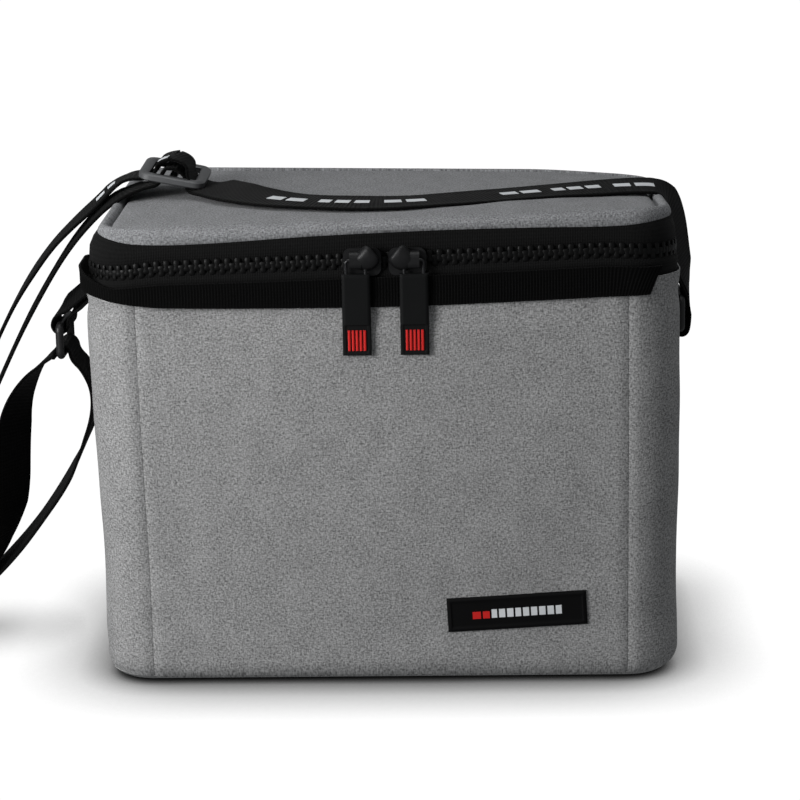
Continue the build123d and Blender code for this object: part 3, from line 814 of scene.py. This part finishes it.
INNER_ROUTE = [
    (-84.2, 8, 199.2, *Y), (-86.6, 8, 203.4, *Y), (-92.8, 8, 204.6, *Y), (-95.4, 7.5, 201.0, *Y),
    (-98, 6, 197.2, *Y), (-105, 3, 195.8, *Y), (-113, -1, 193.4, *UP_LEFT),
    (-121, -1, 187.6, *UP_LEFT), (-132.5, 0, 175.5, *UP_LEFT), (-145, 1, 157.5, *UP_LEFT), (-157.5, 0, 136, *UP_LEFT),
    (-172, 0, 107, *UP_LEFT), (-185, 0, 76, *Y), (-194, 0, 46, *Y), (-196, 0, 24, *Y), (-188, -1, 17, *Y),
    (-177, -2, 28, 0.1, 1, 0), (-169.5, -3, 44, 0.2, 1, 0), (-165, -4, 62, *TWIST), (-164, -4, 82, *TWIST),
    (-162, -3, 101, *TWIST), (-155, -1, 115, 0.3, 1, 0), (-147.5, 0, 122.6, 0.1, 1, 0), (-143.2, 0, 125.4, *Y),
]
strap_main, main_line, main_run = webbing("strap_main", MAIN_ROUTE, 51)
strap_outer, outer_line, outer_run = webbing("strap_outer", OUTER_ROUTE, 52)
strap_inner, inner_line, inner_run = webbing("strap_inner", INNER_ROUTE, 53)
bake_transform(strap_main)
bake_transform(strap_outer)
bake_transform(strap_inner)
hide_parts("strap_over_lid", "strap_right_side", "right_ring_wrap")
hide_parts("strap_outer_strand", "left_ring_wrap")
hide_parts("strap_inner_strand")

TAB_LEAN = (-0.1, 1, 0.14)
LEFT_TAB = [(-117.6, 0, 160.4, *Y), (-123, 0, 157.2, *TAB_LEAN), (-130, 0, 152.6, *TAB_LEAN),
            (-136.4, 0, 147.4, *TAB_LEAN), (-141.8, 0, 143.0, *Y), (-143.6, 0, 138.2, *Y), (-140.4, 0, 134.6, *Y),
            (-136.2, 0, 136.8, *Y), (-136.2, 0, 142.6, *Y), (-129.6, 0, 149.8, *TAB_LEAN),
            (-123, 0, 154.6, *TAB_LEAN), (-117.6, 0, 157.8, *Y)]
RIGHT_TAB = [(119.0, 0, 166.5, *Y), (121.6, 0, 163, *Y), (122.8, 0, 157, *Y), (125.2, 0, 152.5, *Y),
             (127.0, 0, 148.0, *Y), (125.6, 0, 143.9, *Y), (121.8, 0, 143.9, *Y), (120.3, 0, 148, *Y),
             (120.8, 0, 155, *Y), (120.0, 0, 160, *Y), (119.0, 0, 163, *Y)]
for side, route in (("left", LEFT_TAB), ("right", RIGHT_TAB)):
    tab, _, _ = webbing(side + "_tab", route, 61, thickness=1.2 * MM, ripple=0.05)
    finish_piece(tab, "root", (side + "_ring_tab",))


def closed_tube(path, outward, width, height, uses_up):
    """Rings of a bar with a rounded section that follows a flat path."""
    section = [(-0.5, -0.3), (-0.3, -0.5), (0.3, -0.5), (0.5, -0.3), (0.5, 0.3), (0.3, 0.5), (-0.3, 0.5), (-0.5, 0.3)]
    return np.array([[p + n * a * width + uses_up * b * height for a, b in section] for p, n in zip(path, outward)])


def make_adjuster():
    """Three-bar slide: a rounded frame and a middle bar, standing tilted on the webbing's hump."""
    half_x, half_y, corner = 12.0 * MM, 14.6 * MM, 3.0 * MM
    turn = Matrix.Rotation(math.radians(11), 3, "Y") @ Matrix.Rotation(math.radians(4), 3, "X")
    centre = np.array((-90.3, 9.5, 200.4)) * MM
    rotate = np.array(turn)
    path, outward = [], []
    for k, (sx, sy) in enumerate(((1, 1), (-1, 1), (-1, -1), (1, -1))):
        for t in np.linspace(0, math.pi / 2, 6):
            n = np.array((math.cos(t + k * math.pi / 2), math.sin(t + k * math.pi / 2), 0))
            path.append(np.array((sx * (half_x - corner), sy * (half_y - corner), 0)) + n * corner)
            outward.append(n)
    rings = closed_tube(path, outward, 4.2 * MM, 3.2 * MM, np.array((0, 0, 1)))
    m = rings.shape[1]
    verts = list(rings.reshape(-1, 3))
    count = len(path)
    faces = []
    for i in range(count):
        for j in range(m):
            a, b = i * m + j, i * m + (j + 1) % m
            c, d = ((i + 1) % count) * m + (j + 1) % m, ((i + 1) % count) * m + j
            faces.append((a, b, c, d))
    ys = np.linspace(-half_y, half_y, 7)
    bar = closed_tube([np.array((0, y, 0)) for y in ys], [np.array((1, 0, 0))] * 7, 3.0 * MM, 2.2 * MM,
                      np.array((0, 0, 1)))
    base = len(verts)
    verts += list(bar.reshape(-1, 3))
    for i in range(6):
        for j in range(m):
            n = (j + 1) % m
            faces.append((base + i * m + j, base + (i + 1) * m + j, base + (i + 1) * m + n, base + i * m + n))
    faces += [tuple(base + j for j in range(m)), tuple(base + 6 * m + j for j in range(m - 1, -1, -1))]
    piece = mesh_object("adjuster", np.array(verts) @ rotate.T + centre, faces)
    merge_doubles(piece, 1e-7)
    finish_piece(piece, "lid", ("strap_adjuster",), adjuster_metal)


make_adjuster()


# Pale dashes woven along the strap where it crosses the lid, and none of them letters.
def strap_marks(name, spans, line, run, route, rise):
    _, w, up = web_frame(line, route)
    verts, faces = [], []
    for start, end, low, high in spans:
        count = max(int((end - start) / 2.0), 2)
        base = len(verts)
        for length in np.linspace(start, end, count + 1):
            at = [np.interp(length * MM, run, line[:, k]) for k in range(3)]
            wide = np.array([np.interp(length * MM, run, w[:, k]) for k in range(3)])
            normal = np.array([np.interp(length * MM, run, up[:, k]) for k in range(3)])
            for across, high_up in ((low, 0.0), (high, 0.0), (high, 0.12), (low, 0.12)):
                verts.append(np.array(at) + wide * across * MM + normal * (rise - high_up * MM))
        for i in range(count):
            for j in range(4):
                n = (j + 1) % 4
                a = base + i * 4
                faces.append((a + j, a + n, a + 4 + n, a + 4 + j))
        faces.append((base + 3, base + 2, base + 1, base))
        faces.append(tuple(base + count * 4 + j for j in range(4)))
    piece = mesh_object(name, verts, faces)
    piece.data.materials.append(pale_print)
    return piece


MARKS = [(188, 196), (198, 205), (211, 217), (219, 225), (227, 232), (238, 246), (248, 255)]
MARKS += [(88, 96), (98, 105), (111, 117), (119, 125), (127, 132), (138, 146), (148, 155)]
OUTER_MARKS = [(1.5, 6.0, -9.0, -3.0), (30, 34, -4.0, 3.0), (36, 41, -4.0, 3.0)]
outer_marks = strap_marks("strap_dashes_left", OUTER_MARKS, outer_line, outer_run, OUTER_ROUTE, -1.04 * STRAP_T / 2)
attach(outer_marks, "lid")
marks = strap_marks("strap_dashes", [(a, b, -2.6, 2.2) for a, b in MARKS], main_line, main_run, MAIN_ROUTE,
                    -1.04 * STRAP_T / 2)
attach(marks, "lid")


# ---- Zip pulls, label and other small parts -----------------------------------
def edged(low, high, fine, count):
    """Places from low to high, closer together at both edges."""
    inner = np.linspace(low + fine, high - fine, count)
    return np.unique(np.concatenate([[low, low + fine * 0.3], inner, [high - fine * 0.3, high]]))


def slab(name, us, vs, front, back, place):
    """A closed slab: front and back give its two faces' depths, and place turns (u, v, depth) into a point."""
    grid_u, grid_v = np.meshgrid(us, vs, indexing="ij")
    top = place(grid_u, grid_v, front(grid_u, grid_v))
    low = place(grid_u, grid_v, back(grid_u, grid_v))
    nu, nv = grid_u.shape
    verts = np.concatenate([top.reshape(-1, 3), low.reshape(-1, 3)])
    half = nu * nv
    faces = grid_faces(nu, nv) + grid_faces(nu, nv, half, flip=True)
    for i in range(nu - 1):
        a, b = i * nv, (i + 1) * nv
        faces.append((a, half + a, half + b, b))
        faces.append((a + nv - 1, b + nv - 1, half + b + nv - 1, half + a + nv - 1))
    last = (nu - 1) * nv
    for j in range(nv - 1):
        faces.append((j, j + 1, half + j + 1, half + j))
        faces.append((last + j, half + last + j, half + last + j + 1, last + j + 1))
    uv = np.stack([grid_u, grid_v], 2).reshape(-1, 2)
    return mesh_object(name, verts, faces, np.concatenate([uv, uv]))


def edge_gap(u, v, half_u, half_v):
    return np.minimum(half_u - np.abs(u), half_v - np.abs(v))


def make_pull(side, centre_x):
    lo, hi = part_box(side + "_pull")
    half_w, half_l = (hi.x - lo.x) / 2, (hi.z - lo.z) / 2
    middle = Vector(((lo.x + hi.x) / 2, (lo.y + hi.y) / 2, (lo.z + hi.z) / 2))
    half_t = (hi.y - lo.y) / 2
    tip_top = -half_l + 12.2 * MM

    def front(u, v):
        gap = edge_gap(u, v, half_w, half_l)
        depth = half_t - 0.7 * MM * (1 - np.sqrt(np.clip(gap / (1.1 * MM), 0, 1)))
        well = smooth(0.9 * MM, 1.5 * MM, half_w - np.abs(u)) * smooth(0.9 * MM, 1.5 * MM, v + half_l)
        return depth - 0.55 * MM * well * smooth(tip_top + 0.3 * MM, tip_top - 0.3 * MM, v)

    def back(u, v):
        gap = edge_gap(u, v, half_w, half_l)
        return -half_t + 0.6 * MM * (1 - np.sqrt(np.clip(gap / (1.1 * MM), 0, 1)))

    def place(u, v, depth):
        return np.stack([middle.x + u, middle.y - depth, middle.z + v], 2)

    us = np.unique(np.concatenate([edged(-half_w, half_w, 1.2 * MM, 15), [-half_w + 1.5 * MM, half_w - 1.5 * MM]]))
    vs = np.unique(np.concatenate([edged(-half_l, half_l, 1.2 * MM, 41), tip_top + np.array([-0.3, 0, 0.3]) * MM]))
    pull = slab(side + "_zip_pull", us, vs, front, back, place)
    finish_piece(pull, side + "_pull", (side + "_pull",), rubber)

    verts, faces = [], []
    for k in range(5):
        u = (k - 2) * 1.55 * MM
        rib = 0.5 * MM
        top, bottom = tip_top - 1.9 * MM, -half_l + 2.0 * MM
        base = len(verts)
        for v0, inset in ((bottom, 0.0), (top, 0.0)):
            for du, depth in ((-rib, 0.4), (rib, 0.4), (rib, 1.0), (rib * 0.6, 1.12), (-rib * 0.6, 1.12), (-rib, 1.0)):
                verts.append((middle.x + u + du, middle.y - depth * MM, middle.z + v0))
        faces += [(base + j, base + (j + 1) % 6, base + 6 + (j + 1) % 6, base + 6 + j) for j in range(6)]
        faces += [tuple(base + j for j in range(5, -1, -1)), tuple(base + 6 + j for j in range(6))]
    ribs = mesh_object(side + "_pull_ribs", verts, faces)
    finish_piece(ribs, side + "_pull", (side + "_pull_tip",), red_rubber)


make_pull("left", -0.010)
make_pull("right", 0.013)


def make_hood(side, sign):
    """The slider's domed crown: a leaning hood that is fullest at its top."""
    lo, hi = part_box(side + "_slider")
    centre_x = (lo.x + hi.x) / 2 + sign * -1.6 * MM
    centre_z = lo.z + 6.6 * MM
    rings = []
    for v in np.linspace(0, 1, 10):
        radius = math.cos(v * math.pi / 2) ** 0.6
        ring = []
        for u in np.linspace(0, 2 * math.pi, 28, endpoint=False):
            high = max(math.sin(u), 0.0)
            x = centre_x + (5.4 * math.cos(u) * radius * (1 - 0.45 * high) - 1.4 * v * sign) * MM
            z = centre_z + (4.4 * math.sin(u) * radius * (1 + 0.3 * high) + 2.2 * v) * MM
            ring.append((x, lo.y + 3.2 * MM - 4.0 * MM * math.sin(v * math.pi / 2), z))
        rings.append(ring[::-1])
    rings = np.array(rings)
    hood = tube_grid(side + "_hood", rings, rings[..., ::2])
    finish_piece(hood, side + "_slider", (), enamel)


make_hood("left", -1)
make_hood("right", 1)

label_lo, label_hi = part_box("label_patch")
LABEL_MID = (label_lo + label_hi) / 2
LABEL_TILT = math.radians(2.8)
LABEL_HALF = (28.5 * MM, 7.2 * MM)


def label_place(u, v, depth):
    x = LABEL_MID.x + u * math.cos(LABEL_TILT) - v * math.sin(LABEL_TILT)
    z = LABEL_MID.z + u * math.sin(LABEL_TILT) + v * math.cos(LABEL_TILT)
    wall_out = HALF_D + wall_puff(x, z)
    return np.stack([x, -wall_out - depth, z], -1)


def label_front(u, v):
    gap = edge_gap(u, v, *LABEL_HALF)
    depth = 0.55 * MM + 0.75 * MM * np.sqrt(np.clip(gap / (0.9 * MM), 0, 1))
    return depth - 0.4 * MM * smooth(1.5 * MM, 2.1 * MM, gap) - 0.25 * MM * bump(1.1 * MM, 0.16 * MM, gap)


us = np.unique(np.concatenate([edged(-LABEL_HALF[0], LABEL_HALF[0], 0.9 * MM, 90),
                               [-LABEL_HALF[0] + 2 * MM, LABEL_HALF[0] - 2 * MM]]))
vs = np.unique(np.concatenate([edged(-LABEL_HALF[1], LABEL_HALF[1], 0.9 * MM, 27)]))
label = slab("label", us, vs, label_front, lambda u, v: np.full(u.shape, -0.3 * MM), label_place)
finish_piece(label, "root", ("label_patch",), label_rubber)


def label_bars(name, spans, material):
    verts, faces = [], []
    for left, right, low, high in spans:
        base = len(verts)
        for u in np.linspace(left, right, 4) * MM:
            for v, depth in ((low, 0.7), (high, 0.7), (high, 1.15), (low, 1.15)):
                verts.append(label_place(np.array(u), np.array(v * MM), np.array(depth * MM)))
        for i in range(3):
            for j in range(4):
                n = (j + 1) % 4
                a = base + i * 4
                faces.append((a + j, a + 4 + j, a + 4 + n, a + n))
        faces += [(base, base + 1, base + 2, base + 3), tuple(base + 12 + j for j in (3, 2, 1, 0))]
    bars = mesh_object(name, verts, faces)
    finish_piece(bars, "root", (), material)


label_bars("label_red_bars", [(-18.2, -14.8, -2.0, 1.0), (-14.0, -11.2, -2.0, 1.0)], red_rubber)
PALE_BARS = [(-10.4, -8.2), (-7.4, -4.9), (-4.1, -1.5), (-0.7, 1.6), (2.4, 4.9), (5.7, 8.2), (9.0, 11.6),
             (12.4, 15.0), (15.8, 18.2)]
label_bars("label_pale_bars", [(a, b, -1.9, 1.7) for a, b in PALE_BARS], pale_print)


# ---- Finishes of the CAD pieces that stay -------------------------------------
CAD_FINISH = {
    "left_slider": enamel, "right_slider": enamel, "left_bail": wire_metal, "right_bail": wire_metal,
    "left_ring": ring_plastic, "right_ring": ring_plastic, "base_board": board_card,
}
for node, material in CAD_FINISH.items():
    data = bpy.data.objects[node].data
    data.materials.clear()
    data.materials.append(material)


# ---- Floor, light and camera ---------------------------------------------------
def make_floor():
    """White floor and backdrop, with a contact shadow painted into their glow around the bag. Only the camera sees
    them, so they throw no light up at the bag.
    """
    size = 3.0
    m = Shader("floor_white")
    # Painted contact shadow: ambient occlusion darkens the floor's glowing white near the bag.
    near = m.node("ShaderNodeAmbientOcclusion", {"Distance": 0.045}, samples=12).outputs["AO"]
    tight = m.node("ShaderNodeAmbientOcclusion", {"Distance": 0.016}, samples=12).outputs["AO"]
    shade = m.math("MULTIPLY", m.math("POWER", near, 1.5), m.math("POWER", tight, 0.7))
    grain = m.noise(m.coordinate("Object"), 300, 2.0)
    white = m.math("MULTIPLY", shade, m.ramp(grain, 0.0, 1.0, 1.02, 1.05))
    m.set(Base_Color=grey(0.0), Roughness=1.0, Specular_IOR_Level=0.0, Emission_Strength=1.0)
    m.set(Emission_Color=m.node("ShaderNodeCombineColor", {"Red": white, "Green": white, "Blue": white}).outputs[0])
    far = 1.2
    for name, corners in (("floor", [(-size, -size, 0), (size, -size, 0), (size, far, 0), (-size, far, 0)]),
                          ("backdrop", [(-size, far, 0), (size, far, 0), (size, far, size), (-size, far, size)])):
        data = bpy.data.meshes.new(name)
        data.from_pydata(corners, [], [(0, 1, 2, 3)])
        data.materials.append(m.material)
        piece = bpy.data.objects.new(name, data)
        bpy.context.scene.collection.objects.link(piece)
        piece.location.z = -0.0002
        piece.visible_diffuse = piece.visible_glossy = piece.visible_shadow = False


def area_light(name, place, target, size, power, colour=(1, 1, 1)):
    data = bpy.data.lights.new(name, "AREA")
    data.shape = "RECTANGLE"
    data.size, data.size_y = size
    data.energy = power
    data.color = colour
    light = bpy.data.objects.new(name, data)
    light.location = place
    light.rotation_euler = (Vector(target) - Vector(place)).to_track_quat("-Z", "Y").to_euler()
    bpy.context.scene.collection.objects.link(light)


def make_camera():
    pitch, yaw, roll = math.radians(13.82), math.radians(-1.82), math.radians(1.11)
    right = Vector((math.cos(yaw), -math.sin(yaw), 0))
    ahead = Vector((math.sin(yaw) * math.cos(pitch), math.cos(yaw) * math.cos(pitch), -math.sin(pitch)))
    up = right.cross(ahead)
    turned_right = math.cos(roll) * right - math.sin(roll) * up
    turned_up = math.sin(roll) * right + math.cos(roll) * up
    data = bpy.data.cameras.new("camera")
    data.sensor_width = 36.0
    data.lens = 112.52
    data.clip_start, data.clip_end = 0.05, 20
    camera = bpy.data.objects.new("camera", data)
    turn = Matrix((turned_right, turned_up, -ahead)).transposed()
    camera.matrix_world = Matrix.Translation((0.03741, -1.04762, 0.35953)) @ turn.to_4x4()
    bpy.context.scene.collection.objects.link(camera)
    bpy.context.scene.camera = camera


make_floor()
area_light("key", (-0.53, -0.50, 0.34), (-0.03, 0, 0.10), (0.3, 0.3), 5.0)
area_light("top", (-0.1, -0.1, 1.1), (0, 0, 0.15), (0.8, 0.8), 3.4)
world = bpy.data.worlds.new("studio")
world.use_nodes = True
world.node_tree.nodes["Background"].inputs[0].default_value = (0.96, 0.98, 1, 1)
world.node_tree.nodes["Background"].inputs[1].default_value = 0.245
bpy.context.scene.world = world
bpy.context.scene.view_settings.view_transform = "Standard"
make_camera()
